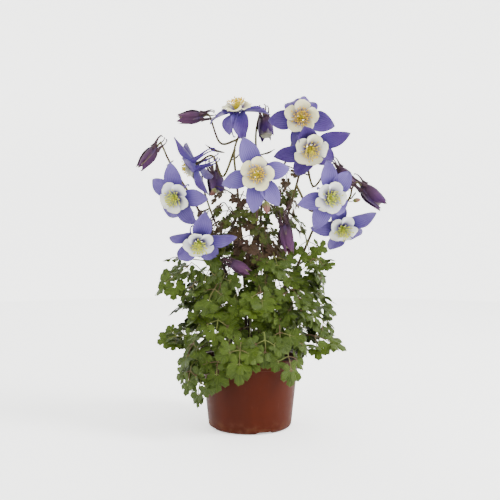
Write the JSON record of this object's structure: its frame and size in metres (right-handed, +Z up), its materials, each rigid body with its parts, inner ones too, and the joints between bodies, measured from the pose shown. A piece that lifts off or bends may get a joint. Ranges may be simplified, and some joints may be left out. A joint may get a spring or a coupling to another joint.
{
  "type": "potted columbine plant",
  "caption": "Flowering columbine in a tapered terracotta-coloured nursery pot, with spurred blue-violet and cream flowers, nodding buds and lobed leaves.",
  "frame": {"origin": "middle of the pot's foot, on the surface that it stands on", "axes": "+Z up out of the pot, -Y towards the plant's front, +X to the right as seen from the front"},
  "size_m": [0.2522, 0.172, 0.3378],
  "materials": {
    "pot_plastic": "terracotta-coloured thin moulded plastic, satin",
    "soil": "moist crumbly peat compost, matte",
    "crown": "woody crown with old leaf bases, matte",
    "leaf": "soft matte green leaf with a pale underside",
    "stem": "thin purplish-brown downy stem",
    "sepal": "blue-violet, soft satin, faint veins",
    "petal": "cream white, soft, with violet spurs",
    "stamen": "yellow, powdery",
    "bud": "dark plum-violet, downy"
  },
  "bodies": {
    "root": {"pot": "pot_plastic", "potting_soil": "soil", "root_crown": "crown", "basal_leaf_01": "leaf", "basal_leaf_02": "leaf", "basal_leaf_03": "leaf", "basal_leaf_04": "leaf", "basal_leaf_05": "leaf", "basal_leaf_06": "leaf", "basal_leaf_07": "leaf", "basal_leaf_08": "leaf", "basal_leaf_09": "leaf", "basal_leaf_10": "leaf", "basal_leaf_11": "leaf", "basal_leaf_12": "leaf", "basal_leaf_13": "leaf", "stem_leaf_1": "leaf", "stem_leaf_2": "leaf", "stem_leaf_3": "leaf", "flower_stem_1": "stem", "flower_stem_2": "stem", "flower_stem_3": "stem", "flower_stem_4": "stem", "flower_stem_5": "stem", "flower_stem_6": "stem", "flower_1_sepals": "sepal", "flower_1_petals": "petal", "flower_1_stamens": "stamen", "flower_2_sepals": "sepal", "flower_2_petals": "petal", "flower_2_stamens": "stamen", "flower_3_sepals": "sepal", "flower_3_petals": "petal", "flower_3_stamens": "stamen", "flower_4_sepals": "sepal", "flower_4_petals": "petal", "flower_4_stamens": "stamen", "flower_5_sepals": "sepal", "flower_5_petals": "petal", "flower_5_stamens": "stamen", "flower_6_sepals": "sepal", "flower_6_petals": "petal", "flower_6_stamens": "stamen", "flower_7_sepals": "sepal", "flower_7_petals": "petal", "flower_7_stamens": "stamen", "flower_8_sepals": "sepal", "flower_8_petals": "petal", "flower_8_stamens": "stamen", "flower_9_sepals": "sepal", "flower_9_petals": "petal", "flower_9_stamens": "stamen", "bud_1": "bud", "bud_2": "bud", "bud_3": "bud", "bud_4": "bud", "bud_5": "bud", "bud_6": "bud", "bud_7": "bud", "bud_8": "bud"}
  },
  "joints": []
}
